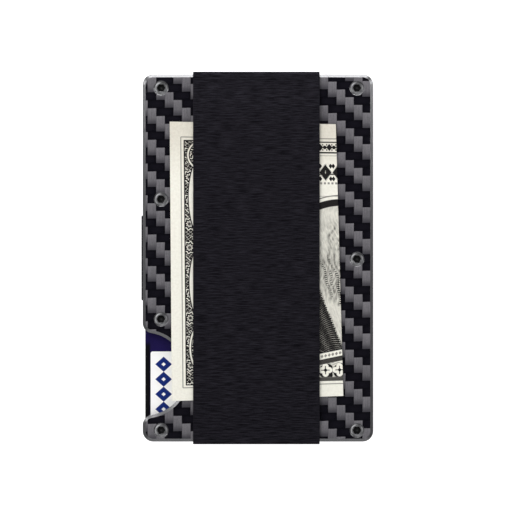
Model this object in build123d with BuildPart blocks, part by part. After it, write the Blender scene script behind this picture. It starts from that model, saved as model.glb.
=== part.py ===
from build123d import *
import os

# A minimalist wallet: two shells, each an outer plate screwed to an inner plate, squeeze bank cards
# between them. Elastic webbing runs in tracks between the plates and pulls the shells together.
# The wallet lies on its back, +Z is out of the front, +Y is along its long side, and the origin
# is the centre of the back face. Millimetres.

os.makedirs("parts", exist_ok=True)

# Plates
plate_width = 54.6
plate_length = 87.0
outer_thickness = 1.5
inner_thickness = 1.3
corner_radius = 2.5
outer_bevel = 0.68
inner_inset = 0.25
inner_lead_in = 0.2

# Thumb notch, open through the left edge of every plate
notch_radius = 9.83
notch_x = -26.8
notch_y = -27.5
notch_mouth_radius = 2.4

# Clearances
gap = 0.01
card_gap = 0.02
track_side_gap = 0.2

# Elastic webbing
elastic_thickness = 0.55
long_elastic_width = 22.0
side_elastic_width = 20.0
elastic_corner_radius = 0.5

# Cash strap, an endless loop round the front outer plate
strap_width = 30.0
strap_x = -0.38
strap_thickness = 0.6
strap_end_thickness = 0.62
strap_corner_radius = 0.8
strap_pocket_width = 31.0

# Bank card of the ID-1 size, with its contact chip
card_width = 53.98
card_length = 85.6
card_thickness = 0.76
card_corner_radius = 3.18
card_x = 0.29
chip_width = 11.8
chip_length = 13.0
chip_corner_radius = 1.5
chip_pocket_depth = 0.2
chip_thickness = 0.18
chip_side_gap = 0.03
chip_from_top_edge = 23.9
chip_from_left_edge = 15.3

# Banknote folded twice
note_thickness = 0.45
note_corners = [(-20.9, 32.3), (18.4, 31.7), (20.2, -32.7), (-20.4, -33.9)]

# Countersunk screws, M2
screw_x = 23.2
screw_end_y = 40.55
screw_left_y = 14.2
pattern_x = 0.25  # the screw pattern's middle, beside the plate's own
pattern_y = -0.3
shank_radius = 1.0
bore_radius = 1.02
countersink_radius = 1.75
countersink_angle = 90
head_radius = 1.55
head_recess = 0.08
head_cone_start = 0.17
socket_across_flats = 1.5
socket_sides = 6
socket_turn = 30
socket_depth = 0.5
tip_chamfer = 0.2
tip_short_of_card = 0.1

# Heights of the stack, from the back face up
back_inner_z = outer_thickness
card_z = back_inner_z + inner_thickness + card_gap
front_inner_z = card_z + card_thickness + card_gap
front_outer_z = front_inner_z + inner_thickness
front_face_z = front_outer_z + outer_thickness
note_z = front_face_z + card_gap
strap_run_z = note_z + note_thickness + card_gap
middle = Plane.XY.offset(front_face_z / 2)

# Tracks and pockets leave the webbing a hair of room above and below
track_depth = elastic_thickness + 2 * gap
pocket_depth = strap_thickness + 2 * gap

screw_places = [
    (pattern_x - screw_x, pattern_y + screw_end_y),
    (pattern_x + screw_x, pattern_y + screw_end_y),
    (pattern_x + screw_x, pattern_y),
    (pattern_x + screw_x, pattern_y - screw_end_y),
    (pattern_x - screw_x, pattern_y - screw_end_y),
    (pattern_x - screw_x, pattern_y - screw_left_y),
    (pattern_x - screw_x, pattern_y + screw_left_y),
]


def plate_outline(inset):
    """A plate's outline: a rounded rectangle with the thumb notch, drawn in from the edge by inset."""
    left_edge = inset - plate_width / 2
    with BuildSketch() as outline:
        RectangleRounded(plate_width - 2 * inset, plate_length - 2 * inset, corner_radius - inset)
        with Locations((notch_x, notch_y)):
            Circle(notch_radius + inset, mode=Mode.SUBTRACT)
        on_left_edge = outline.vertices().filter_by_position(Axis.X, left_edge - gap, left_edge + gap)
        mouth = on_left_edge.sort_by_distance((left_edge, notch_y))[0:2]
        fillet(mouth, notch_mouth_radius - inset)
    return outline.sketch


def outer_plate():
    """An outer plate as it sits on the front, bevelled all round its outer face and countersunk."""
    with BuildPart() as plate:
        with BuildSketch(Plane.XY.offset(front_outer_z)):
            add(plate_outline(0))
        extrude(amount=outer_thickness)
        chamfer(plate.faces().sort_by(Axis.Z)[-1].outer_wire().edges(), outer_bevel)
        with Locations(*[(x, y, front_face_z) for x, y in screw_places]):
            CounterSinkHole(bore_radius, countersink_radius, outer_thickness, countersink_angle)
    return plate.part


def inner_plate():
    """An inner plate as it sits on the front, with the T-shaped webbing track in its upper face."""
    track_floor = Plane.XY.offset(front_outer_z - track_depth)
    with BuildPart() as plate:
        with BuildSketch(Plane.XY.offset(front_inner_z)):
            add(plate_outline(inner_inset))
        extrude(amount=inner_thickness)
        chamfer(plate.faces().sort_by(Axis.Z)[0].outer_wire().edges(), inner_lead_in)
        with BuildSketch(track_floor):
            Rectangle(long_elastic_width + track_side_gap, plate_length)
        extrude(amount=track_depth, mode=Mode.SUBTRACT)
        with BuildSketch(track_floor):
            branch = (plate_width / 2, side_elastic_width + track_side_gap)
            Rectangle(*branch, align=(Align.MAX, Align.CENTER))
        extrude(amount=track_depth, mode=Mode.SUBTRACT)
        with Locations(*[(x, y, front_outer_z) for x, y in screw_places]):
            Hole(bore_radius, depth=inner_thickness)
    return plate.part


def screw(x, y):
    """A countersunk socket screw in the front face, its tip just short of the card."""
    head_top = front_face_z - head_recess
    cone_top = front_face_z - head_cone_start
    cone_foot = cone_top - (head_radius - shank_radius)
    tip = front_inner_z + tip_short_of_card
    profile = [
        (0, tip),
        (shank_radius - tip_chamfer, tip),
        (shank_radius, tip + tip_chamfer),
        (shank_radius, cone_foot),
        (head_radius, cone_top),
        (head_radius, head_top),
        (0, head_top),
    ]
    with BuildPart() as body:
        with BuildSketch(Plane.XZ.offset(-y)):
            with BuildLine():
                Polyline([(x + radius, height) for radius, height in profile], close=True)
            make_face()
        revolve(axis=Axis((x, y, 0), (0, 0, 1)))
        with BuildSketch(Plane.XY.offset(head_top)):
            with Locations((x, y)):
                RegularPolygon(socket_across_flats / 2, socket_sides, major_radius=False, rotation=socket_turn)
        extrude(amount=-socket_depth, mode=Mode.SUBTRACT)
    return body.part


# Outer plates: the same carbon laminate, and the front one has a pocket underneath for the strap
with BuildPart() as front_outer_plate:
    add(outer_plate())
    with BuildSketch(Plane.XY.offset(front_outer_z)):
        with Locations((strap_x, 0)):
            Rectangle(strap_pocket_width, plate_length)
    extrude(amount=pocket_depth, mode=Mode.SUBTRACT)
front_outer_plate.part.label = "front_outer_plate"
export_step(front_outer_plate.part, "parts/front_outer_plate.step")

with BuildPart() as back_outer_plate:
    mirror(outer_plate(), about=middle)
back_outer_plate.part.label = "back_outer_plate"
export_step(back_outer_plate.part, "parts/back_outer_plate.step")

# Inner plates
with BuildPart() as front_inner_plate:
    add(inner_plate())
front_inner_plate.part.label = "front_inner_plate"
export_step(front_inner_plate.part, "parts/front_inner_plate.step")

with BuildPart() as back_inner_plate:
    mirror(inner_plate(), about=middle)
back_inner_plate.part.label = "back_inner_plate"
export_step(back_inner_plate.part, "parts/back_inner_plate.step")

# Long elastic: a closed loop round both inner plates, crossing the card gap at the two short ends
elastic_top_z = front_outer_z - gap
elastic_height = 2 * elastic_top_z - front_face_z
inner_plate_end = plate_length / 2 - inner_inset + gap
with BuildPart() as long_elastic:
    with BuildSketch(Plane.YZ.offset(-long_elastic_width / 2)):
        with Locations((0, front_face_z / 2)):
            RectangleRounded(
                2 * (inner_plate_end + elastic_thickness), elastic_height, elastic_corner_radius
            )
            Rectangle(
                2 * inner_plate_end, elastic_height - 2 * elastic_thickness, mode=Mode.SUBTRACT
            )
    extrude(amount=long_elastic_width)
long_elastic.part.label = "long_elastic"
export_step(long_elastic.part, "parts/long_elastic.step")

# Side elastic: a U round the left edges of both inner plates, sewn to the long one at its ends
side_reach = plate_width / 2 - inner_inset + gap
side_start = long_elastic_width / 2
with BuildPart() as side_elastic:
    with BuildSketch(Plane.XZ.offset(-side_elastic_width / 2)):
        with Locations((0, front_face_z / 2)):
            RectangleRounded(2 * (side_reach + elastic_thickness), elastic_height, elastic_corner_radius)
            Rectangle(2 * side_reach, elastic_height - 2 * elastic_thickness, mode=Mode.SUBTRACT)
            with Locations((-side_start, 0)):
                Rectangle(plate_width, plate_length, align=(Align.MIN, Align.CENTER), mode=Mode.SUBTRACT)
    extrude(amount=side_elastic_width)
side_elastic.part.label = "side_elastic"
export_step(side_elastic.part, "parts/side_elastic.step")

# Cash strap: its inner run lies in the pocket, its outer run crosses the note
strap_bottom_z = front_outer_z + gap
strap_top_z = strap_run_z + strap_thickness
strap_height = strap_top_z - strap_bottom_z
strap_window = strap_height - 2 * strap_thickness
strap_inner_end = plate_length / 2 + card_gap
with BuildPart() as cash_strap:
    with BuildSketch(Plane.YZ.offset(strap_x - strap_width / 2)):
        with Locations((0, strap_bottom_z + strap_height / 2)):
            RectangleRounded(2 * (strap_inner_end + strap_end_thickness), strap_height, strap_corner_radius)
            Rectangle(2 * strap_inner_end, strap_window, mode=Mode.SUBTRACT)
    extrude(amount=strap_width)
cash_strap.part.label = "cash_strap"
export_step(cash_strap.part, "parts/cash_strap.step")

# Screws, seven in each shell
for number, (x, y) in enumerate(screw_places, start=1):
    with BuildPart() as front_screw:
        add(screw(x, y))
    front_screw.part.label = f"front_screw_{number}"
    export_step(front_screw.part, f"parts/front_screw_{number}.step")
    with BuildPart() as back_screw:
        mirror(screw(x, y), about=middle)
    back_screw.part.label = f"back_screw_{number}"
    export_step(back_screw.part, f"parts/back_screw_{number}.step")

# Bank card: the card's own top edge faces +X and its left edge faces +Y
chip_x = card_x + card_width / 2 - chip_from_top_edge
chip_y = card_length / 2 - chip_from_left_edge
card_top_z = card_z + card_thickness
with BuildPart() as payment_card:
    with BuildSketch(Plane.XY.offset(card_z)):
        with Locations((card_x, 0)):
            RectangleRounded(card_width, card_length, card_corner_radius)
    extrude(amount=card_thickness)
    with BuildSketch(Plane.XY.offset(card_top_z)):
        with Locations((chip_x, chip_y)):
            RectangleRounded(chip_width, chip_length, chip_corner_radius)
    extrude(amount=-chip_pocket_depth, mode=Mode.SUBTRACT)
payment_card.part.label = "payment_card"
export_step(payment_card.part, "parts/payment_card.step")

# Chip module, seated in the card's pocket and just below its face
with BuildPart() as card_chip:
    with BuildSketch(Plane.XY.offset(card_top_z - chip_pocket_depth)):
        with Locations((chip_x, chip_y)):
            RectangleRounded(
                chip_width - 2 * chip_side_gap,
                chip_length - 2 * chip_side_gap,
                chip_corner_radius - chip_side_gap,
            )
    extrude(amount=chip_thickness)
card_chip.part.label = "card_chip"
export_step(card_chip.part, "parts/card_chip.step")

# Folded banknote, held flat on the front face by the strap
with BuildPart() as folded_note:
    with BuildSketch(Plane.XY.offset(note_z)):
        with BuildLine():
            Polyline(note_corners, close=True)
        make_face()
    extrude(amount=note_thickness)
folded_note.part.label = "folded_note"
export_step(folded_note.part, "parts/folded_note.step")
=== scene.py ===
import bpy
import math
from mathutils import Matrix, Vector


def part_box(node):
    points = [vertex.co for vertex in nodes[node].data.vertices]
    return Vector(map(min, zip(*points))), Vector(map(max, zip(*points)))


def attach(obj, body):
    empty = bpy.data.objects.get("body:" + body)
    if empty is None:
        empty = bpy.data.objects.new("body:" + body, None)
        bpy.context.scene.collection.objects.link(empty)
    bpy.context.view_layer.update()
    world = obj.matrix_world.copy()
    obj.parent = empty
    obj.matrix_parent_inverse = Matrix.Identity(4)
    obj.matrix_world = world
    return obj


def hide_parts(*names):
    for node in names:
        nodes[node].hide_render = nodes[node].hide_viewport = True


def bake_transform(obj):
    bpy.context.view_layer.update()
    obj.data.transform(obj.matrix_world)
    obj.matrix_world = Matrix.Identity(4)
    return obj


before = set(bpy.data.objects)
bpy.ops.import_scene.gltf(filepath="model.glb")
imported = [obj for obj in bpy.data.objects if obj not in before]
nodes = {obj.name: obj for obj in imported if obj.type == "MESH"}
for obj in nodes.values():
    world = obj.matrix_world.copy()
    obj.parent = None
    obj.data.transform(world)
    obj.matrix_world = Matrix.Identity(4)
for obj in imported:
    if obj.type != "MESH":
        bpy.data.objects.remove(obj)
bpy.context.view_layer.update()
mm = 0.001


# A number in a node tree, so that a pattern is written as a formula
class Signal:
    def __init__(self, tree, socket):
        self.tree = tree
        self.socket = socket

    def math(self, operation, other=None, swap=False):
        node = self.tree.nodes.new("ShaderNodeMath")
        node.operation = operation
        first, second = (other, self) if swap else (self, other)
        feed(self.tree, first, node.inputs[0])
        if second is not None:
            feed(self.tree, second, node.inputs[1])
        return Signal(self.tree, node.outputs[0])

    def __add__(self, other):
        return self.math("ADD", other)

    def __sub__(self, other):
        return self.math("SUBTRACT", other)

    def __rsub__(self, other):
        return self.math("SUBTRACT", other, swap=True)

    def __mul__(self, other):
        return self.math("MULTIPLY", other)

    def __truediv__(self, other):
        return self.math("DIVIDE", other)

    def __mod__(self, other):
        return self.math("FLOORED_MODULO", other)

    def __abs__(self):
        return self.math("ABSOLUTE")

    def __lt__(self, other):
        return self.math("LESS_THAN", other)

    def __gt__(self, other):
        return self.math("GREATER_THAN", other)

    __radd__ = __add__
    __rmul__ = __mul__

    def sin(self):
        return self.math("SINE")

    def floor(self):
        return self.math("FLOOR")

    def fract(self):
        return self.math("FRACT")

    def sqrt(self):
        return self.math("SQRT")

    def turn(self, other):  # the angle whose tangent is this over the other
        return self.math("ARCTAN2", other)

    def atMost(self, other):
        return self.math("MINIMUM", other)

    def atLeast(self, other):
        return self.math("MAXIMUM", other)

    def rise(self, low, high):  # 0 below low, 1 above high, smooth between
        node = self.tree.nodes.new("ShaderNodeMapRange")
        node.interpolation_type = "SMOOTHSTEP"
        feed(self.tree, self, node.inputs["Value"])
        node.inputs["From Min"].default_value = low
        node.inputs["From Max"].default_value = high
        return Signal(self.tree, node.outputs["Result"])

    def fall(self, low, high):  # 1 below low, 0 above high
        return 1 - self.rise(low, high)


def feed(tree, value, socket):
    if isinstance(value, Signal):
        tree.links.new(value.socket, socket)
    elif isinstance(value, bpy.types.NodeSocket):
        tree.links.new(value, socket)
    else:
        socket.default_value = value


def axesOf(tree, source, scale):  # the three numbers of a vector output, each times scale
    split = tree.nodes.new("ShaderNodeSeparateXYZ")
    tree.links.new(source, split.inputs[0])
    return [Signal(tree, output) * scale for output in split.outputs]


def objectAxes(tree):  # x, y, z of the surface in millimetres
    coords = tree.nodes.new("ShaderNodeTexCoord")
    return axesOf(tree, coords.outputs["Object"], 1 / mm)


def uvAxes(tree, wide, long):  # the piece's own map, stretched to its real size in millimetres
    coords = tree.nodes.new("ShaderNodeTexCoord")
    u, v = axesOf(tree, coords.outputs["UV"], 1.0)[:2]
    return u * wide, v * long


def vectorOf(tree, x, y, z=0.0):
    join = tree.nodes.new("ShaderNodeCombineXYZ")
    for value, socket in zip((x, y, z), join.inputs):
        feed(tree, value, socket)
    return join.outputs[0]


def noise(tree, vector, scale, detail=2.0, roughness=0.5):
    node = tree.nodes.new("ShaderNodeTexNoise")
    tree.links.new(vector, node.inputs["Vector"])
    node.inputs["Scale"].default_value = scale
    node.inputs["Detail"].default_value = detail
    node.inputs["Roughness"].default_value = roughness
    return Signal(tree, node.outputs["Fac"])


def mixColor(tree, factor, low, high):
    node = tree.nodes.new("ShaderNodeMix")
    node.data_type = "RGBA"
    feed(tree, factor, node.inputs[0])
    for value, socket in ((low, node.inputs[6]), (high, node.inputs[7])):
        feed(tree, value if isinstance(value, bpy.types.NodeSocket) else (*value, 1.0), socket)
    return node.outputs[2]


def bump(tree, height, strength, distance):
    node = tree.nodes.new("ShaderNodeBump")
    node.inputs["Strength"].default_value = strength
    node.inputs["Distance"].default_value = distance
    feed(tree, height, node.inputs["Height"])
    return node.outputs["Normal"]


def newMaterial(name, settings):
    material = bpy.data.materials.new(name)
    material.use_nodes = True
    tree = material.node_tree
    shader = tree.nodes["Principled BSDF"]
    for key, value in settings.items():
        shader.inputs[key].default_value = value
    return material, tree, shader


def connect(tree, shader, **values):  # baseColor=... feeds the socket named Base Color
    names = {
        "baseColor": "Base Color",
        "roughness": "Roughness",
        "metallic": "Metallic",
        "coatWeight": "Coat Weight",
        "normal": "Normal",
    }
    for key, value in values.items():
        feed(tree, value, shader.inputs[names[key]])


# Handling marks that every hard surface shares: broad smudges and fine grain
def makeHandlingGroup():
    group = bpy.data.node_groups.new("handlingMarks", "ShaderNodeTree")
    for name, value in (("Smudge Scale", 120.0), ("Grain Scale", 9000.0)):
        socket = group.interface.new_socket(name, in_out="INPUT", socket_type="NodeSocketFloat")
        socket.default_value = value
    for name in ("Smudge", "Grain"):
        group.interface.new_socket(name, in_out="OUTPUT", socket_type="NodeSocketFloat")
    inside = group.nodes.new("NodeGroupInput")
    outside = group.nodes.new("NodeGroupOutput")
    coords = group.nodes.new("ShaderNodeTexCoord")
    for index, detail in enumerate((4.0, 1.0)):
        texture = group.nodes.new("ShaderNodeTexNoise")
        texture.inputs["Detail"].default_value = detail
        group.links.new(coords.outputs["Object"], texture.inputs["Vector"])
        group.links.new(inside.outputs[index], texture.inputs["Scale"])
        group.links.new(texture.outputs["Fac"], outside.inputs[index])
    return group


handlingGroup = makeHandlingGroup()


def handling(tree, smudgeScale, grainScale):
    node = tree.nodes.new("ShaderNodeGroup")
    node.node_tree = handlingGroup
    node.inputs["Smudge Scale"].default_value = smudgeScale
    node.inputs["Grain Scale"].default_value = grainScale
    return Signal(tree, node.outputs["Smudge"]), Signal(tree, node.outputs["Grain"])


def paint(piece, material):
    piece.data.materials.clear()
    piece.data.materials.append(material)


# Carbon laminate of both outer plates: 2x2 twill under clear resin, cut at the bevels. The twill's
# light and dark squares are painted reflection, not two colours of fibre
carbon = {
    "columnPitch": 2.036,  # mm across one upright tow
    "towPitch": 1.87,  # mm up one crossing tow
    "firstColumn": -26.14,
    "firstRow": 31.72,
    "rowTilt": 0.017,
    "repeat": 4.0,  # tows in one repeat of the twill, half of them on top
    "towEdge": 0.07,
    "drift": 0.3,  # tows are never quite straight
    "driftScale": 0.12,
    "uprightPaintedSheen": (0.168, 0.161, 0.173),
    "uprightShade": (0.045, 0.043, 0.05),
    "crossColor": (0.0012, 0.001, 0.0028),
    "crossSheen": (0.0075, 0.0065, 0.011),
    "cutColor": (0.19, 0.19, 0.195),
    "cutDark": (0.085, 0.085, 0.088),
    "plyPitch": 0.25,
    "resin": 0.5,
    "relief": 0.00008,
}


def makeCarbon():
    c = carbon
    material, tree, shader = newMaterial(
        "carbonLaminate", {"Coat Roughness": 0.07, "Coat IOR": 1.5, "Specular IOR Level": 0.05}
    )
    x, y, z = objectAxes(tree)
    half = c["repeat"] / 2
    drift = (noise(tree, vectorOf(tree, x, y), c["driftScale"], 1.0) - 0.5) * c["drift"]
    u = (x + drift - c["firstColumn"]) / c["columnPitch"]
    v = (y + drift - (x - c["firstColumn"]) * c["rowTilt"] - c["firstRow"]) / c["towPitch"]
    column = u.floor()
    row = v.floor()
    along = (v + column) % c["repeat"]  # below half where the upright tow is on top
    across = u.fract()
    crossAlong = ((u + row) % c["repeat"] - half) / half
    crossAcross = v.fract()
    upright = along.rise(0.0, c["towEdge"]) * along.fall(half - 0.06, half)
    # painted shade: each upright tow turns darker towards its sides
    sides = across.rise(0.0, c["towEdge"]) * across.fall(1 - c["towEdge"], 1.0)
    fibres = noise(tree, vectorOf(tree, x * 4.0, y * 0.22), 1.0, 3.0, 0.7).rise(0.25, 0.75)
    crossFibres = noise(tree, vectorOf(tree, x * 0.25, y * 7.0), 1.0, 3.0, 0.7)
    # painted reflection: the upright tows are painted light grey, brighter along each tow, with a
    # painted highlight near its far end
    glow = along.rise(0.0, 0.9) * (along * 0.28 + 0.46) + along.rise(1.7, 1.95) * 0.12
    repeats = ((v + column) / c["repeat"]).floor()
    patches = noise(tree, vectorOf(tree, column * 3.7, repeats * 5.3), 1.0, 0.0)
    specks = noise(tree, vectorOf(tree, x * 3.2, y * 2.6), 1.0, 2.0, 0.6).rise(0.3, 0.7)
    glow = glow * (specks * 0.3 + 0.85) * (fibres * 0.5 + 0.62)
    glow = glow * (sides * 0.4 + 0.6) * (patches * 0.5 + 0.75)
    uprightTone = mixColor(tree, glow, c["uprightShade"], c["uprightPaintedSheen"])
    # painted sheen along the middle of each crossing tow
    archAcross = crossAcross * (1 - crossAcross) * 4.0
    arch = archAcross * (crossAlong * (1 - crossAlong) * 4.0).atLeast(0.0)
    crossTone = mixColor(tree, arch * crossFibres, c["crossColor"], c["crossSheen"])
    weave = mixColor(tree, upright, crossTone, uprightTone)

    geometry = tree.nodes.new("ShaderNodeNewGeometry")
    facing = abs(axesOf(tree, geometry.outputs["True Normal"], 1.0)[2])
    flat = facing.rise(0.9, 0.98)
    plies = (z * (2 * math.pi / c["plyPitch"])).sin() * 0.5 + 0.5
    smudge, grain = handling(tree, 160.0, 5200.0)
    cutTone = mixColor(tree, plies * 0.35 + grain * 0.7, c["cutDark"], c["cutColor"])
    color = mixColor(tree, flat, cutTone, weave)
    height = upright * (across * (1 - across) * 4.0) + (1 - upright) * arch * 0.7 + fibres * 0.25
    height = height * flat + grain * (1 - flat)
    connect(
        tree,
        shader,
        baseColor=color,
        roughness=flat * 0.15 + 0.27 + smudge * 0.06,
        metallic=(1 - flat) * 0.9,
        coatWeight=flat * c["resin"],
        normal=bump(tree, height, 0.35, c["relief"]),
    )
    return material


# Black anodised inner plates
aluminium = {"dark": (0.018, 0.018, 0.02), "light": (0.052, 0.052, 0.056)}


def makeAluminium():
    material, tree, shader = newMaterial("blackAluminium", {"IOR": 1.5})
    smudge, grain = handling(tree, 220.0, 6500.0)
    x, y, z = objectAxes(tree)
    brushed = noise(tree, vectorOf(tree, x * 0.4, y * 6.0, z * 6.0), 1.0, 2.0)
    color = mixColor(tree, grain * 0.6 + brushed * 0.4, aluminium["dark"], aluminium["light"])
    connect(
        tree,
        shader,
        baseColor=color,
        roughness=smudge * 0.15 + brushed * 0.12 + 0.28,
        metallic=brushed * 0.15 + 0.6,
        normal=bump(tree, grain + brushed, 0.15, 0.00002),
    )
    return material


# Elastic webbing, mapped along and across each band
webbing = {
    "ribPitch": 0.71,  # mm from rib to rib
    "ribDepth": 0.035,
    "cordPitch": 0.42,
    "longCordPitch": 0.9,
    "dark": (0.0010, 0.0009, 0.0022),
    "light": (0.0185, 0.0172, 0.0230),
    "relief": 0.00008,
}


def makeWebbing(name, wide, long, corded):  # corded is how much the lengthwise cords show, 0 to 1
    w = webbing
    material, tree, shader = newMaterial(name, {"Specular IOR Level": 0.06})
    u, v = uvAxes(tree, wide, long)
    wobble = noise(tree, vectorOf(tree, u * 0.5, v * 0.9), 1.0, 3.0)
    ribs = ((v + wobble * 1.5) * (2 * math.pi / w["ribPitch"])).sin() * 0.5 + 0.5
    stitch = ((v / w["ribPitch"]).floor() * 0.5 + u / w["cordPitch"]).fract()
    loops = (stitch * (1 - stitch) * 4.0).sqrt()
    fuzz = noise(tree, vectorOf(tree, u * 2.4, v * 7.0), 1.0, 3.0, 0.7).rise(0.3, 0.7)
    streak = noise(tree, vectorOf(tree, u * 0.3, v * 5.4), 1.0, 3.0, 0.6).rise(0.34, 0.66)
    broad = noise(tree, vectorOf(tree, u * 0.12, v * 0.7), 1.0, 1.0)
    # painted shade and highlight: rib grooves, stitch loops and crinkle streaks are painted darker
    # and lighter; fuzz and broad add random tone
    tone = ribs * 0.16 + loops * 0.08 + fuzz * 0.24 + streak * 0.80 + broad * 0.20 - 0.305
    # a band that stretches far shows its lengthwise cords most
    cords = (u * (2 * math.pi / w["longCordPitch"])).sin() * 0.5 + 0.5
    pinch = noise(tree, vectorOf(tree, u * 1.1, v * 0.2), 1.0, 1.0)
    # painted shade: on a stretched band the ribs stay painted darker in their grooves
    tone = tone * (1 - corded) + (cords * 0.42 + ribs * 0.14 + pinch * 0.2) * corded
    height = (loops * ribs * 0.5 + fuzz * 0.4 + streak * 0.7) * (1 - corded) + cords * corded
    connect(
        tree,
        shader,
        baseColor=mixColor(tree, tone, w["dark"], w["light"]),
        roughness=fuzz * 0.12 + 0.78,
        normal=bump(tree, height, 0.8, w["relief"]),
    )
    return material


def socketMask(tree):  # 1 on the screw faces that belong to the socket
    mask = tree.nodes.new("ShaderNodeAttribute")
    mask.attribute_name = "socket"
    return Signal(tree, mask.outputs["Fac"])


# Black-oxide screw steel, with painted shade down in the socket, eased a little at its floor as a
# painted reflection
screwMetal = {
    "dark": (0.105, 0.105, 0.109),
    "light": (0.255, 0.255, 0.262),
    "socketShade": (0.009, 0.009, 0.0095),
    "wallFrom": (0.03, 0.07),  # mm below the head's top where the painted socket shade begins
    "floorFrom": (0.565, 0.60),
}


def makeSteel():
    m = screwMetal
    material, tree, shader = newMaterial("screwSteel", {"IOR": 1.5})
    smudge, grain = handling(tree, 900.0, 14000.0)
    z = objectAxes(tree)[2]
    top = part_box("front_screw_1")[1].z / mm
    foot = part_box("back_screw_1")[0].z / mm
    depth = (top - foot) / 2 - abs(z - (top + foot) / 2)
    # painted shade: darker with depth in the socket, a little lighter at its floor as a painted
    # reflection
    socket = depth.rise(*m["wallFrom"]) * (1 - depth.rise(*m["floorFrom"]) * 0.12)
    inSocket = socketMask(tree)
    color = mixColor(tree, smudge * 0.6 + grain * 0.5, m["dark"], m["light"])
    color = mixColor(tree, socket * inSocket, color, m["socketShade"])
    connect(
        tree,
        shader,
        baseColor=color,
        roughness=grain * 0.2 + 0.26,
        metallic=smudge * 0.1 + 0.85,
        normal=bump(tree, grain, 0.2, 0.00001),
    )
    return material


# Printed bank card, its own top edge towards +X
cardPrint = {
    "panelLow": (-25.43, -41.4),
    "panelHigh": (-12.4, -22.16),
    "panelRound": 0.5,
    "markX": -22.35,
    "markTop": -23.4,
    "markPitch": 3.55,
    "markCount": 4,
    "markHalf": (2.05, 1.85),
    "navy": (0.007, 0.0035, 0.0438),
    "navyLight": (0.022, 0.013, 0.14),
    "black": (0.0012, 0.001, 0.002),
    "white": (0.98, 0.98, 0.96),
    "blue": (0.006, 0.022, 0.17),
    "stripe": (0.012, 0.011, 0.012),
    "edgeWidth": (0.9, 1.45),  # the black line up the left edge, where it starts and ends fading
    "edgeTop": (-21.0, -19.4),
    "stripeLeft": (10.4, 10.5),
    "stripeRight": (23.1, 23.2),
    "signingLow": (-2.0, -20.0),
    "signingHigh": (6.5, 36.0),
    "signing": (0.82, 0.82, 0.80),
    "backGround": (0.30, 0.33, 0.42),
    "core": (0.75, 0.75, 0.74),
    "coreHalf": (0.22, 0.26),
}


def roundedBox(x, y, low, high, radius):  # distance outside a rounded rectangle, negative inside
    halfX = (high[0] - low[0]) / 2 - radius
    halfY = (high[1] - low[1]) / 2 - radius
    dx = abs(x - (low[0] + high[0]) / 2) - halfX
    dy = abs(y - (low[1] + high[1]) / 2) - halfY
    inside = dx.atLeast(dy).atMost(0.0)
    dx, dy = dx.atLeast(0.0), dy.atLeast(0.0)
    return (dx * dx + dy * dy).sqrt() + inside - radius


def makeCard():
    p = cardPrint
    material, tree, shader = newMaterial(
        "printedCard", {"Coat Weight": 0.25, "Coat Roughness": 0.08, "Specular IOR Level": 0.15}
    )
    low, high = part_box("payment_card")
    left, right, bottom, top = low.x / mm, high.x / mm, low.y / mm, high.y / mm
    x, y, z = objectAxes(tree)
    smudge, grain = handling(tree, 130.0, 8000.0)
    sweep = ((x - left) / (right - left) + (y - bottom) / (top - bottom) * 0.35).rise(0.0, 1.1)
    waves = ((x * 0.35 + (y * 0.11).sin() * 3.0) * 1.7).sin() * 0.5 + 0.5
    ground = mixColor(tree, sweep + waves * 0.12, p["navy"], p["navyLight"])
    edge = (x - left).fall(*p["edgeWidth"]) * y.fall(*p["edgeTop"])
    ground = mixColor(tree, edge, ground, p["black"])
    panel = roundedBox(x, y, p["panelLow"], p["panelHigh"], p["panelRound"]).fall(-0.05, 0.05)
    color = mixColor(tree, panel, ground, p["white"])
    step = ((p["markTop"] - y) / p["markPitch"]).floor()
    local = p["markTop"] - y - step * p["markPitch"] - p["markPitch"] / 2
    lozenge = abs(x - p["markX"]) / p["markHalf"][0] + abs(local) / p["markHalf"][1]
    rows = (step > -0.5) * (step < p["markCount"] - 0.5)
    marks = (lozenge.fall(0.94, 1.0) - lozenge.fall(0.22, 0.28)) * rows
    color = mixColor(tree, marks, color, p["blue"])
    # the back carries a dark stripe along the card's own top edge and a pale signing strip
    geometry = tree.nodes.new("ShaderNodeNewGeometry")
    normalZ = axesOf(tree, geometry.outputs["True Normal"], 1.0)[2]
    behind = normalZ < -0.5
    stripe = x.rise(*p["stripeLeft"]) * x.fall(*p["stripeRight"])
    signing = roundedBox(x, y, p["signingLow"], p["signingHigh"], 0.4).fall(-0.05, 0.05)
    hatch = ((x + y) * 4.0).sin() * 0.06 + 0.9
    back = mixColor(tree, stripe, p["backGround"], p["stripe"])
    back = mixColor(tree, signing * hatch, back, p["signing"])
    color = mixColor(tree, behind, color, back)
    # the core shows white at the cut edge
    side = abs(normalZ) < 0.5
    core = abs(z - (low.z + high.z) / 2 / mm).fall(*p["coreHalf"])
    color = mixColor(tree, side * (core * 0.85), color, p["core"])
    connect(
        tree,
        shader,
        baseColor=color,
        roughness=smudge * 0.12 + 0.32,
        normal=bump(tree, grain, 0.06, 0.00001),
    )
    return material


# Contact chip: gold pads parted by fine grooves round a rounded centre
chipPrint = {
    "padEdge": 2.1,  # mm from the middle
    "rowEdge": 2.9,
    "centreHalf": 2.2,
    "centreRound": 0.8,
    "grooveHalf": 0.09,
    "gold": (0.62, 0.45, 0.19),
    "groove": (0.07, 0.05, 0.025),
}


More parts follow.
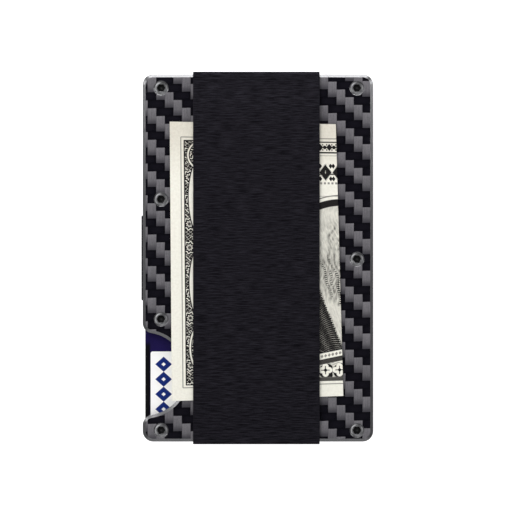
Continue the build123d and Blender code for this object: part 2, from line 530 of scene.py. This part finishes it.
def makeChip():
    c = chipPrint
    material, tree, shader = newMaterial("chipContacts", {"IOR": 1.5})
    low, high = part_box("card_chip")
    middle = (low + high) / 2 / mm
    x, y = objectAxes(tree)[:2]
    dx, dy = x - middle.x, y - middle.y
    pad = abs(abs(dx) - c["padEdge"]) < c["grooveHalf"]
    rows = (abs(dy) < c["grooveHalf"]).atLeast(abs(abs(dy) - c["rowEdge"]) < c["grooveHalf"])
    corner = (c["padEdge"], c["centreHalf"])
    centre = roundedBox(dx, dy, (-corner[0], -corner[1]), corner, c["centreRound"])
    rows = rows * (centre > 0.0)
    ring = abs(centre) < c["grooveHalf"]
    grooves = pad.atLeast(rows).atLeast(ring)
    smudge, grain = handling(tree, 400.0, 9000.0)
    color = mixColor(tree, grooves, c["gold"], c["groove"])
    connect(
        tree,
        shader,
        baseColor=color,
        roughness=grain * 0.15 + smudge * 0.15 + 0.18,
        metallic=1 - grooves * 0.9,
        normal=bump(tree, 1 - grooves, 0.5, 0.00003),
    )
    return material


# Banknote print, in millimetres along (u) and up (v) the unfolded strip
notePrint = {
    "length": 156.0,
    "height": 66.3,
    "paper": (0.86, 0.845, 0.755),
    "paperWarm": (0.60, 0.56, 0.475),
    "ink": (0.007, 0.006, 0.0065),
    "lineInk": (0.17, 0.17, 0.15),
    "frameLow": (2.62, 3.05),
    "frameHigh": (153.3, 62.7),
    "panelLow": (3.3, 3.6),
    "panelHigh": (152.7, 62.0),
    "bandRight": 9.5,
    "rosettePitch": 5.6,
    "rosetteMiddle": 4.5,
    "rosetteReach": (1.55, 1.65),
    "latticePitch": 0.95,
    "veinPitch": 0.62,
    "arcRight": 11.5,
    "printLeft": 12.0,
    "beadStart": 35.0,
    "beadPitch": 2.2,
    "beadHeight": 60.6,
    "fleuronStart": 35.65,
    "fleuronPitch": 3.15,
    "fleuronHeight": 54.5,
    "flowerStart": 34.35,
    "flowerPitch": 3.3,
    "flowerHeight": 6.4,
    "petalReach": 0.86,
    "linePitch": 0.46,
    "ovalMiddle": (40.6, 28.1),
    "ovalHalf": (17.0, 20.0),
    "ringInside": (0.908, 0.916),  # shares of the oval's half width and height
    "ringOutside": (0.992, 1.0),
    "ribbonMiddle": (37.7, 10.2),
    "ribbonSlope": 0.19,
    "ribbonLevel": -5.0,  # left of this, from its middle, the ribbon runs level
    "knotPitch": 0.85,
    "faceMiddle": (45.8, 33.0),
    # circles whose inside is bare paper: middle and radius
    "scallops": (((28.4, 48.3), 24.0), ((28.4, 27.8), 24.0)),
    # arcs drawn as a pale line: middle, radius and half their height
    "paleArcs": (((7.6, 58.4), 3.3, 3.8), ((14.4, 12.4), 10.0, 5.2)),
}


def makeBandInk(tree, u, v):  # the engraved band down the note's end, 0 to 1
    p = notePrint
    local = ((v / p["rosettePitch"]).fract() - 0.5) * p["rosettePitch"]
    du = u - p["rosetteMiddle"]
    reach = (du * du + local * local).sqrt()
    petals = (local.turn(du) * 8.0).sin()
    rosette = (reach * 8.5 + petals * 1.3).sin().rise(-0.75, -0.3)
    inRosette = reach.fall(*p["rosetteReach"])
    bend = (v * 0.9).sin() * 0.5
    first = ((u * 0.9 + v * 1.15 + bend) / p["latticePitch"]).fract()
    second = ((u * 0.9 - v * 1.15 + bend) / p["latticePitch"]).fract()
    lattice = (abs(first - 0.5) * 2.0).atMost(abs(second - 0.5) * 2.0).rise(0.0, 0.15)
    vine = (u * 2.3 + (v * 1.7).sin() * 1.9).sin() * (v * 2.2 + (u * 1.4).sin()).sin()
    leaf = vine.rise(0.56, 0.64)
    vein = ((u + v) / p["veinPitch"]).fract().rise(0.27, 0.47) * 0.95
    ink = lattice * (1 - leaf) + leaf * vein
    ink = ink * (1 - inRosette) + inRosette * rosette
    bare = 0.0
    edge = 0.0
    for (cu, cv), radius in p["scallops"]:
        away = ((u - cu) * (u - cu) + (v - cv) * (v - cv)).sqrt() - radius
        bare = away.fall(-0.05, 0.05).atLeast(bare)
        edge = abs(away - 0.14).fall(0.10, 0.16).atLeast(edge)
    ink = ink.atLeast(edge) * (1 - bare)
    ink = ink * (u < p["bandRight"])
    for (cu, cv), radius, halfSpan in p["paleArcs"]:
        away = ((u - cu) * (u - cu) + (v - cv) * (v - cv)).sqrt() - radius
        arc = abs(away).fall(0.38, 0.44) * (abs(v - cv) < halfSpan) * (u < p["arcRight"])
        ink = ink.atLeast(arc) * (1 - abs(away).fall(0.16, 0.22) * arc)
    return ink


def makeNotePaper():
    p = notePrint
    material, tree, shader = newMaterial("notePaper", {"Specular IOR Level": 0.12})
    u, v = uvAxes(tree, p["length"], p["height"])
    fibre = noise(tree, vectorOf(tree, u, v), 1.6, 4.0, 0.65)
    fine = noise(tree, vectorOf(tree, u, v), 9.0, 2.0)
    # the paper turns darker and warmer towards its top edge, with random fibre tint
    fibreTintAndTopTone = fibre.rise(0.3, 0.8) * 0.35 + v.rise(50.0, 66.0) * 0.65
    color = mixColor(tree, fibreTintAndTopTone, p["paper"], p["paperWarm"])

    frameEdge = roundedBox(u, v, p["frameLow"], p["frameHigh"], 0.15)
    thinLine = abs(frameEdge).fall(0.09, 0.16)
    panel = roundedBox(u, v, p["panelLow"], p["panelHigh"], 0.15)
    inPanel = panel.fall(-0.04, 0.04)
    border = abs(panel + 0.12).fall(0.10, 0.18) * (u < p["bandRight"])

    def row(low, high):
        return v.rise(low - 0.04, low + 0.04) * v.fall(high - 0.04, high + 0.04)

    def rule(height, half):
        return abs(v - height).fall(half - 0.03, half + 0.04)

    # the rows across the top: a string of lozenges and beads between rules, then bold fleurons
    rules = rule(61.9, 0.18).atLeast(rule(59.3, 0.18))
    rules = rules.atLeast(rule(58.55, 0.07) * 0.6).atLeast(rule(48.7, 0.07) * 0.55)
    beadLocal = abs(((u - p["beadStart"]) / p["beadPitch"]).fract() - 0.5) * p["beadPitch"]
    toBead = p["beadPitch"] / 2 - beadLocal
    fromRow = abs(v - p["beadHeight"])
    lozenges = (beadLocal * 1.15 + fromRow).fall(0.82, 0.92)
    beads = (toBead * toBead + fromRow * fromRow).sqrt().fall(0.40, 0.48)
    tips = (abs(beadLocal - 0.62) + abs(fromRow - 0.62) * 0.8).fall(0.16, 0.24)
    beadRow = lozenges.atLeast(beads).atLeast(tips) * row(59.5, 61.7)
    spear = abs(((u - p["fleuronStart"]) / p["fleuronPitch"]).fract() - 0.5) * p["fleuronPitch"]
    above = v - p["fleuronHeight"]
    tall = (spear * 1.35 + abs(above)).fall(1.9, 2.0) - (spear * 5.0 + abs(above)).fall(0.5, 0.6)
    crossbar = abs(above + 0.45).fall(0.16, 0.22) * 0.9
    feet = (abs(spear - 1.25) * 1.4 + abs(abs(above) - 1.55)).fall(0.60, 0.68)
    hatched = ((u + v) / 0.5).fract().rise(0.35, 0.6)
    shadow = hatched * (spear * 1.5 + abs(above)).fall(2.2, 2.5) * 0.55
    fleurons = tall.atLeast(feet).atLeast(crossbar).atLeast(shadow) * row(52.4, 56.6)
    dots = ((u * 7.0).sin() * 0.5 + 0.5).rise(0.25, 0.6) * row(51.6, 52.1) * 0.7
    topInk = rules.atLeast(beadRow).atLeast(fleurons).atLeast(dots)

    # the foot: pale four-petalled flowers with dark hearts, cast on a shaded band
    flowerLocal = (((u - p["flowerStart"]) / p["flowerPitch"]).fract() - 0.5) * p["flowerPitch"]
    flowerUp = v - p["flowerHeight"]
    wide = abs(flowerLocal)
    high = abs(flowerUp)
    outX, outY = wide - p["petalReach"], high - p["petalReach"]
    sidePetal = (outX * outX + flowerUp * flowerUp).sqrt()
    topPetal = (flowerLocal * flowerLocal + outY * outY).sqrt()
    flower = sidePetal.atMost(topPetal).fall(0.70, 0.80)
    cross = wide.atMost(high).fall(0.06, 0.14) * wide.atLeast(high).fall(0.95, 1.05)
    heart = (wide + high).fall(0.46, 0.56).atLeast(cross)
    castUp = flowerUp + 0.3
    castLocal = flowerLocal - 0.3
    cast = (castLocal * castLocal * 1.1 + castUp * castUp).sqrt().fall(1.85, 1.95)
    shadeLines = ((v + u * 0.3) / 0.4).fract().rise(0.3, 0.6) * 0.6
    footInk = cast.atLeast(shadeLines) * (1 - flower) + heart * flower
    footInk = (footInk * row(4.7, 8.3)).atLeast(row(3.75, 4.7) * 0.92)
    footInk = footInk.atLeast(rule(3.05, 0.09) * 0.7)

    # the oval picture, its tone cut into fine lines
    du = (u - p["ovalMiddle"][0]) / p["ovalHalf"][0]
    dv = (v - p["ovalMiddle"][1]) / p["ovalHalf"][1]
    oval = (du * du + dv * dv).sqrt()
    ring = oval.rise(*p["ringInside"]) * oval.fall(*p["ringOutside"])
    ring = ring.atLeast(abs(oval - 1.04).fall(0.004, 0.009) * 0.8)
    inOval = oval.fall(*p["ringInside"])
    tone = tree.nodes.new("ShaderNodeAttribute")
    tone.attribute_name = "engraving"
    shade = Signal(tree, tone.outputs["Fac"])
    slant = v + u * 0.35 + (u * 0.55).sin() * 0.8
    lines = abs((slant / p["linePitch"]).fract() - 0.5) * 2.0
    cut = (lines - shade * 1.3 + fine * 0.5 - 0.06).fall(-0.15, 0.15)
    flow = u * 2.6 + (v * 0.3 + 0.8).sin() * 3.4
    hairline = noise(tree, vectorOf(tree, flow, v * 0.5), 1.0, 3.0, 0.7)
    soft = shade * (hairline.rise(0.32, 0.68) * 1.2 + 0.7)
    solid = shade.rise(0.50, 0.62)
    portrait = inOval * (soft * (1 - solid) + cut * solid)

    # a ribbon crosses the oval's foot
    alongRibbon = (u - p["ribbonMiddle"][0]).atLeast(p["ribbonLevel"])
    ribbonUp = v - p["ribbonMiddle"][1] - alongRibbon * p["ribbonSlope"]
    ribbon = abs(ribbonUp).fall(0.86, 0.92)
    ribbonInk = abs(abs(ribbonUp) - 0.84).fall(0.07, 0.14)
    fromKnot = abs((u / p["knotPitch"]).fract() - 0.5) * p["knotPitch"]
    knots = (fromKnot * 1.2 + abs(ribbonUp)).fall(0.36, 0.5)
    ribbonInk = ribbonInk.atLeast(knots * 0.7)
    underRibbon = (ribbonUp + 1.45).rise(-0.55, -0.45) * (ribbonUp + 0.85).fall(0.0, 0.08)
    middleInk = portrait.atLeast(ring) * (v > 9.0)
    middleInk = (middleInk * (ribbonUp > 0.0)).atLeast(underRibbon * 0.95)
    middleInk = middleInk * (1 - ribbon) + ribbonInk * ribbon
    inked = topInk.atLeast(footInk).atLeast(middleInk) * (u > p["printLeft"]) * inPanel
    allInk = (makeBandInk(tree, u, v) * inPanel).atLeast(inked).atLeast(border)
    allInk = allInk * (fine * 0.2 + 0.90)
    color = mixColor(tree, thinLine * 0.8, color, p["lineInk"])
    color = mixColor(tree, allInk, color, p["ink"])
    connect(
        tree,
        shader,
        baseColor=color,
        roughness=fibre * 0.1 + 0.78,
        normal=bump(tree, fibre + allInk * 0.3, 0.25, 0.00003),
    )
    return material


# Shapes start from a flat grid, and each of its points is put in place by a rule
def deselectAll():
    bpy.ops.object.select_all(action="DESELECT")


def wrapGrid(name, across, along, place):
    deselectAll()
    bpy.ops.mesh.primitive_grid_add(x_subdivisions=across, y_subdivisions=along, size=1)
    piece = bpy.context.object
    piece.name = name
    spots = []
    for vertex in piece.data.vertices:
        i = round((vertex.co.x + 0.5) * across)
        j = round((vertex.co.y + 0.5) * along)
        point, uv = place(i, j)
        vertex.co = point
        spots.append(uv)
    layer = piece.data.uv_layers[0].data
    for loop in piece.data.loops:
        layer[loop.index].uv = spots[loop.vertex_index]
    return piece


def closeMesh(piece, capEnds=False, angle=40.0):
    bpy.ops.object.mode_set(mode="EDIT")
    bpy.ops.mesh.select_all(action="SELECT")
    bpy.ops.mesh.remove_doubles(threshold=0.002 * mm)
    if capEnds:
        bpy.ops.mesh.select_all(action="DESELECT")
        bpy.ops.mesh.select_mode(type="EDGE")
        bpy.ops.mesh.select_non_manifold()
        bpy.ops.mesh.fill_holes(sides=0)
    bpy.ops.mesh.select_all(action="SELECT")
    bpy.ops.mesh.normals_make_consistent(inside=False)
    bpy.ops.object.mode_set(mode="OBJECT")
    bpy.ops.object.shade_smooth_by_angle(angle=math.radians(angle))


def roundedPath(corners, reach, parts=6):  # through flat points, each corner eased over reach
    points = [Vector(corners[0])]
    for before, corner, after in zip(corners, corners[1:], corners[2:]):
        corner = Vector(corner)
        start = corner + (Vector(before) - corner).normalized() * reach
        end = corner + (Vector(after) - corner).normalized() * reach
        for k in range(parts + 1):
            t = k / parts
            points.append(start * (1 - t) ** 2 + corner * 2 * t * (1 - t) + end * t**2)
    points.append(Vector(corners[-1]))
    return points


def measurePath(points):
    lengths = [0.0]
    for first, second in zip(points, points[1:]):
        lengths.append(lengths[-1] + (second - first).length)
    return lengths


def walkPath(points, distances):  # the point and outward side at each distance along the path
    lengths = measurePath(points)
    found = []
    k = 0
    for distance in distances:
        while k < len(points) - 2 and lengths[k + 1] < distance:
            k += 1
        step = points[k + 1] - points[k]
        share = (distance - lengths[k]) / max(step.length, 1e-9)
        found.append((points[k] + step * share, Vector((step.y, -step.x)).normalized()))
    return found


# Elastic bands: a flat ribbed ribbon with soft edges, carried along a path
bandRing = [
    (-1.0, -0.45), (-1.0, 0.45), (-0.993, 1.0), (-0.34, 1.0), (0.34, 1.0), (0.993, 1.0),
    (1.0, 0.45), (1.0, -0.45), (0.993, -1.0), (0.34, -1.0), (-0.34, -1.0), (-0.993, -1.0),
]
stationsPerRib = 4


def makeBand(name, corners, reach, thickness, width, toSpace, closed, corded=0.0):
    path = roundedPath(corners, reach)
    length = measurePath(path)[-1]
    ribs = round(length / webbing["ribPitch"])
    steps = ribs * stationsPerRib
    stations = walkPath(path, [length * j / steps for j in range(steps + 1)])

    def place(i, j):
        middle, outward = stations[j]
        side, lift = bandRing[i % len(bandRing)]
        groove = 0.5 + 0.5 * math.cos(2 * math.pi * j / stationsPerRib)
        half = thickness / 2 - webbing["ribDepth"] * groove
        spot = middle + outward * (half * lift)
        return toSpace(spot, side * width / 2) * mm, ((side + 1) / 2, j / steps)

    piece = wrapGrid(name, len(bandRing), steps, place)
    closeMesh(piece, capEnds=not closed)
    paint(piece, makeWebbing(name + "Webbing", width, length, corded))
    return piece


def edgesOf(node):
    low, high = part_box(node)
    return low / mm, high / mm


cashStrap = {
    "thickness": 0.6,
    "endThickness": 0.62,
    "restHeight": 0.35,  # middle of the band above the plate where nothing lies under it
    "liftFrom": 41.0,
    "liftTo": 35.6,
    "cornerReach": 0.4,
}


def makeCashStrap():
    s = cashStrap
    low, high = edgesOf("cash_strap")
    plateTop = edgesOf("front_outer_plate")[1].z
    under = low.z + s["thickness"] / 2
    over = high.z - s["thickness"] / 2
    rest = plateTop + s["restHeight"]
    end = high.y - s["endThickness"] / 2
    middleX = (low.x + high.x) / 2
    corners = [(0, under), (end, under), (end, rest), (s["liftFrom"], rest), (s["liftTo"], over)]
    corners += [(-y, z) for y, z in reversed(corners)]
    band = makeBand(
        "cashStrap",
        corners,
        s["cornerReach"],
        s["thickness"],
        high.x - low.x,
        lambda spot, side: Vector((middleX + side, spot.x, spot.y)),
        True,
    )
    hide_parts("cash_strap")
    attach(band, "front_shell")


innerElastic = {
    "thickness": 0.55,
    "cornerReach": 0.3,
    "corded": 0.8,
    "reachIn": 0.72,  # the stretch also takes in most of the plates' edges
}


def makeInnerElastics():
    e = innerElastic
    half = e["thickness"] / 2
    low, high = edgesOf("long_elastic")
    under, over, end = low.z + half, high.z - half, high.y - half
    corners = [(0, under), (end, under), (end, over), (-end, over), (-end, under), (0, under)]
    long = makeBand(
        "longElastic",
        corners,
        e["cornerReach"],
        e["thickness"],
        high.x - low.x,
        lambda spot, side: Vector((side, spot.x, spot.y)),
        True,
        e["corded"],
    )
    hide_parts("long_elastic")
    low, high = edgesOf("side_elastic")
    left = low.x + half
    side = makeBand(
        "sideElastic",
        [(high.x, over), (left, over), (left, under), (high.x, under)],
        e["cornerReach"],
        e["thickness"],
        high.y - low.y,
        lambda spot, side: Vector((spot.x, side, spot.y)),
        False,
        e["corded"],
    )
    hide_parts("side_elastic")
    for piece in (long, side):
        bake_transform(piece)


# Screws: one is turned and broached, then copied into every bore
screwShape = {
    "sides": 48,
    "mouth": 1.09,  # the socket's greatest radius
    "floor": -0.7,  # below this height lies the shank
    # radius or half the width across flats, height from the head's top,
    # and 1 where the ring is hexagonal
    "rings": [
        (0.0, -2.62, 0), (0.8, -2.62, 0), (1.0, -2.42, 0), (1.0, -0.80, 0), (1.54, -0.26, 0),
        (1.55, -0.21, 0), (1.52, -0.17, 0), (1.46, -0.15, 0), (1.40, -0.12, 0), (1.30, -0.065, 0),
        (1.20, -0.02, 0), (1.12, 0.0, 0), (0.92, -0.012, 1), (0.80, -0.12, 1), (0.75, -0.18, 1),
        (0.75, -0.50, 1), (0.60, -0.52, 1), (0.34, -0.55, 0), (0.16, -0.60, 0), (0.0, -0.62, 0),
    ],
}


def makeScrews(steel):
    s = screwShape
    rings = s["rings"]

    def place(i, j):
        radius, height, hexagonal = rings[j]
        angle = 2 * math.pi * i / s["sides"]
        if hexagonal:
            radius = radius / math.cos((angle + math.pi / 6) % (math.pi / 3) - math.pi / 6)
        turned = angle + math.pi / 6
        spot = Vector((radius * math.cos(turned), radius * math.sin(turned), height)) * mm
        return spot, (i / s["sides"], j / (len(rings) - 1))

    pattern = wrapGrid("screwPattern", s["sides"], len(rings) - 1, place)
    closeMesh(pattern, angle=30.0)
    mask = pattern.data.attributes.new("socket", "FLOAT", "POINT")
    mouth = s["mouth"] * mm
    inside = [
        1.0 if math.hypot(v.co.x, v.co.y) < mouth and v.co.z > s["floor"] * mm else 0.0
        for v in pattern.data.vertices
    ]
    mask.data.foreach_set("value", inside)
    paint(pattern, steel)
    for name in sorted(nodes):
        if "_screw_" not in name:
            continue
        low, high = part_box(name)
        middle = (low + high) / 2
        front = name.startswith("front")
        head = Vector((middle.x, middle.y, high.z if front else low.z))
        mesh = pattern.data.copy()
        turn = Matrix() if front else Matrix.Rotation(math.pi, 4, "X")
        mesh.transform(Matrix.Translation(head) @ turn)
        piece = bpy.data.objects.new(name.replace("_screw_", "Screw"), mesh)
        bpy.context.scene.collection.objects.link(piece)
        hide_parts(name)
        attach(piece, "front_shell" if front else "back_shell")
    bpy.data.objects.remove(pattern)


# The note: one strip folded in half and in half again, so that it lies in four layers
foldedNote = {
    "left": -20.65,
    "fold": 19.3,
    "backFold": -19.9,
    "innerFold": 18.95,
    "lastEnd": -18.5,
    # first, second, third and fourth quarter above the solid's foot
    "levels": (0.395, 0.055, 0.17, 0.28),
    "thickness": 0.095,
    # foot left, foot right, top left, top right
    "corners": ((-20.4, -33.9), (20.2, -32.7), (-20.9, 32.3), (18.4, 31.7)),
    "rows": 200,
    "curl": 0.22,
    "fineFrom": 23.0,
    "fineTo": 58.4,
    "fineStep": 0.3,
    "wideStep": 1.8,
}


def engraving(u, v):  # how dark the picture is cut at a place on the note, 0 to 1
    middleU, middleV = notePrint["faceMiddle"]
    u, v = u - middleU, v - middleV

    def blob(x, y, halfX, halfY, soft=0.35):
        reach = math.hypot((u - x) / halfX, (v - y) / halfY)
        return 1 - min(1.0, max(0.0, (reach - 1 + soft) / soft))

    def over(below, above, cover):
        return below * (1 - cover) + above * cover

    aside = abs(u)
    tone = 0.21 + 0.05 * math.sin(v * 1.1 + u * 0.2) + 0.032 * max(0.0, aside - 12.0)
    flow = u + 1.3 * math.sin(v * 0.30 + 0.8) + 0.35 * math.sin(v * 1.1 + u * 0.6)
    strand = 0.5 + 0.5 * math.sin(flow * 5.0)
    lock = 0.5 + 0.5 * math.sin(flow * 1.9 + v * 0.35)
    low = min(1.0, max(0.0, (4.0 - v) / 7.0))  # the hair darkens towards the shoulders
    hair = 0.20 + (0.16 + 0.22 * low) * strand * (0.3 + 0.7 * lock) + 0.10 * low
    hair += (0.14 + 0.24 * low) * max(0.0, math.sin(flow * 2.6 + 1.0)) ** 4
    curl = math.hypot(aside - 6.6, v - 4.0)
    hair += 0.35 * max(0.0, math.cos(curl * 4.4)) * max(0.0, 1 - curl / 2.0)
    tone = over(tone, hair, blob(0.0, -0.5, 11.6, 13.0, 0.1))
    # a coat with a high collar and sloping shoulders, open on a pale pleated neckcloth
    fromEdge = ((-10.35 + aside) * 13.3 - (v + 8.0) * 4.75) / 14.12
    shoulder = -(v + 0.9 + (aside - 13.5) * 0.8) / 1.28
    coat = min(1.0, max(0.0, min(fromEdge, shoulder) / 0.15 + 0.5))
    seam = max(0.0, 1 - abs(shoulder - 2.6) / 0.16) * 0.5
    cloth = 0.10 + 0.22 * (0.5 + 0.5 * math.sin(u * 2.1 + math.sin(v * 0.7))) ** 2
    cloth += 0.25 * max(0.0, 1 + fromEdge / 1.2) if fromEdge < 0 else 0.0
    tone = over(tone, cloth, blob(0.0, -16.0, 7.5, 11.0, 0.25))
    tone = over(tone, 0.30, blob(0.0, -6.2, 2.7, 3.4, 0.25))
    weave = 0.90 + 0.05 * math.sin(u * 2.4 + v * 1.1) - (seam if aside > 13.0 else 0.0)
    tone = over(tone, weave, coat)
    # a calm, level face on even proportions: each mark's place, half size and depth
    skin = 0.05 + 0.24 * max(0.0, u / 4.5) ** 2 + 0.10 * max(0.0, -u / 4.5) ** 3
    tone = over(tone, skin, blob(0.0, 0.0, 4.5, 6.0, 0.1))
    marks = [
        (0.42, -0.6, 0.3, 1.3, 0.16), (0.0, -3.05, 1.3, 0.2, 0.42), (0.0, -3.8, 0.9, 0.25, 0.14),
        (0.0, -5.3, 2.2, 0.5, 0.18), (0.0, 5.6, 3.6, 0.6, 0.12),
    ]
    for side in (-1, 1):
        marks += [
            (side * 1.75, 0.55, 0.85, 0.3, 0.34), (side * 1.75, 0.55, 0.34, 0.32, 0.4),
            (side * 1.8, 1.6, 1.15, 0.26, 0.36), (side * 0.55, -1.85, 0.3, 0.25, 0.2),
            (side * 3.2, -2.6, 0.8, 1.6, 0.08),
        ]
    for x, y, halfX, halfY, depth in marks:
        tone += depth * blob(x, y, halfX, halfY)
    return min(1.0, max(0.0, tone))


def makeNote():
    n = foldedNote
    p = notePrint
    low, high = edgesOf("folded_note")
    first, second, third, fourth = [low.z + level for level in n["levels"]]
    corners = [
        (n["left"], first), (n["fold"], first), (n["fold"], second), (n["backFold"], second),
        (n["backFold"], third), (n["innerFold"], third),
        (n["innerFold"], fourth), (n["lastEnd"], fourth),
    ]
    path = roundedPath(corners, (third - second) / 2)
    length = measurePath(path)[-1]
    distances = [0.0]
    lengths = measurePath(path)
    while distances[-1] < length - 1e-6:
        here = distances[-1]
        step = n["fineStep"] if n["fineFrom"] <= here <= n["fineTo"] else n["wideStep"]
        nextBend = min(d for d in lengths if here + 1e-6 < d)
        distances.append(min(here + step, nextBend))
    stations = walkPath(path, distances)
    footLeft, footRight, topLeft, topRight = [Vector(c) for c in n["corners"]]
    strapLow, strapHigh = edgesOf("cash_strap")

    def place(i, j):
        spot = stations[j][0]
        up = i / n["rows"]
        over = (spot.x - n["left"]) / (n["fold"] - n["left"])
        foot = footLeft.lerp(footRight, over)
        top = topLeft.lerp(topRight, over)
        flat = foot.lerp(top, up)
        beyond = max(strapLow.x - flat.x, flat.x - strapHigh.x, 0.0)
        wave = 0.02 * math.sin(flat.y * 0.21 + 0.8) * min(beyond / 4.0, 1.0)
        swell = 0.75 + 0.25 * math.sin(flat.y * 0.07 + 0.5)
        lift = n["curl"] * (beyond / 5.5) ** 2 * swell + abs(wave)
        return Vector((flat.x, flat.y, spot.y + lift)) * mm, (distances[j] / length, up)

    note = wrapGrid("foldedNote", n["rows"], len(stations) - 1, place)
    tones = note.data.attributes.new("engraving", "FLOAT", "POINT")
    uvOf = {}
    for loop in note.data.loops:
        uvOf[loop.vertex_index] = note.data.uv_layers[0].data[loop.index].uv.copy()
    fill = []
    for vertex in note.data.vertices:
        uv = uvOf[vertex.index]
        fill.append(engraving(uv.x * p["length"], uv.y * p["height"]))
    tones.data.foreach_set("value", fill)
    body = note.modifiers.new("paper", "SOLIDIFY")
    body.thickness = n["thickness"] * mm
    body.offset = 0.0
    bpy.ops.object.modifier_apply(modifier="paper")
    bpy.ops.object.shade_smooth_by_angle(angle=math.radians(50.0))
    paint(note, makeNotePaper())
    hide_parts("folded_note")
    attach(note, "note")


# Studio: pale floor, low strips that light the edges, and soft panels overhead
studio = {
    "frameWidth": 0.1213,
    "cameraOffset": (-0.000464, 0.000462),
    "cameraHeight": 0.5,
    "floorSize": 1.6,
    "floorDrop": 0.02,  # mm below the wallet's back
    "floorTones": ((0.48, 0.48, 0.48), (0.52, 0.52, 0.52)),
    "contact": 0.0004,
    "skyLow": (0.20, 0.20, 0.21),
    "skyHigh": (0.035, 0.035, 0.04),
    "panels": {
        "northStrip": ((0.0, 0.55, 0.085), (0.9, 0.16), 0.5),
        "endStrip": ((0.0, 0.11, 0.014), (0.13, 0.024), 0.09),
        "southStrip": ((0.0, -0.55, 0.085), (0.9, 0.16), 0.6),
        "leftStrip": ((-0.16, 0.08, 0.03), (0.07, 0.05), 0.085),
        "rightStrip": ((0.16, 0.08, 0.03), (0.07, 0.05), 0.095),
        "keyPanel": ((-0.28, 0.32, 0.44), (0.45, 0.45), 2.2),
        "westPanel": ((-0.42, -0.16, 0.44), (0.4, 0.4), 1.2),
        "eastPanel": ((0.40, 0.06, 0.44), (0.4, 0.4), 0.9),
        "southPanel": ((0.10, -0.42, 0.46), (0.45, 0.35), 0.9),
    },
}


def makeStudio():
    s = studio
    scene = bpy.context.scene
    camera = bpy.data.objects.new("camera", bpy.data.cameras.new("camera"))
    camera.data.type = "ORTHO"
    camera.data.ortho_scale = s["frameWidth"]
    camera.data.clip_start = 0.01
    camera.location = (*s["cameraOffset"], s["cameraHeight"])
    scene.collection.objects.link(camera)
    scene.camera = camera
    scene.view_settings.view_transform = "Standard"

    for name, (place, size, power) in s["panels"].items():
        light = bpy.data.objects.new(name, bpy.data.lights.new(name, "AREA"))
        light.data.shape = "RECTANGLE"
        light.data.size, light.data.size_y = size
        light.data.energy = power
        light.location = place
        light.rotation_euler = (-Vector(place)).to_track_quat("-Z", "Y").to_euler()
        light.visible_camera = False
        scene.collection.objects.link(light)

    deselectAll()
    bpy.ops.mesh.primitive_plane_add(size=s["floorSize"], location=(0, 0, -s["floorDrop"] * mm))
    floor = bpy.context.object
    floor.name = "floor"
    material, tree, shader = newMaterial(
        "paleFloor", {"Roughness": 0.9, "Emission Strength": 0.9, "Specular IOR Level": 0.1}
    )
    x, y = objectAxes(tree)[:2]
    cloud = noise(tree, vectorOf(tree, x, y), 0.02, 2.0)
    connect(tree, shader, baseColor=mixColor(tree, cloud, *s["floorTones"]))
    # the floor glows only as the camera sees it, so that it stays white without lighting the edges
    seen = tree.nodes.new("ShaderNodeLightPath").outputs["Is Camera Ray"]
    tree.links.new(seen, shader.inputs["Emission Color"])
    # from below it is clear, and it lets light through to whatever lies on it,
    # so that the back can be seen
    under = Signal(tree, tree.nodes.new("ShaderNodeNewGeometry").outputs["Backfacing"])
    near = Signal(tree, tree.nodes.new("ShaderNodeLightPath").outputs["Ray Length"]) < s["contact"]
    feed(tree, 1 - under.atLeast(near), shader.inputs["Alpha"])
    paint(floor, material)

    world = bpy.data.worlds.new("studioWorld")
    world.use_nodes = True
    scene.world = world
    tree = world.node_tree
    coords = tree.nodes.new("ShaderNodeTexCoord")
    height = axesOf(tree, coords.outputs["Generated"], 1.0)[2]
    sky = mixColor(tree, height.rise(0.25, 0.85), s["skyLow"], s["skyHigh"])
    # the camera sees a plain white backdrop
    seen = tree.nodes.new("ShaderNodeLightPath").outputs["Is Camera Ray"]
    sky = mixColor(tree, seen, sky, (1.0, 1.0, 1.0))
    feed(tree, sky, tree.nodes["Background"].inputs["Color"])
    tree.nodes["Background"].inputs["Strength"].default_value = 1.0


makeStudio()
print("studio ready")

carbonLaminate = makeCarbon()
blackAluminium = makeAluminium()
for side in ("front", "back"):
    paint(nodes[side + "_outer_plate"], carbonLaminate)
    paint(nodes[side + "_inner_plate"], blackAluminium)
paint(nodes["payment_card"], makeCard())
paint(nodes["card_chip"], makeChip())
print("plates and card finished")

makeScrews(makeSteel())
print("screws set")

makeCashStrap()
makeInnerElastics()
print("elastics stretched")

makeNote()
print("note folded")
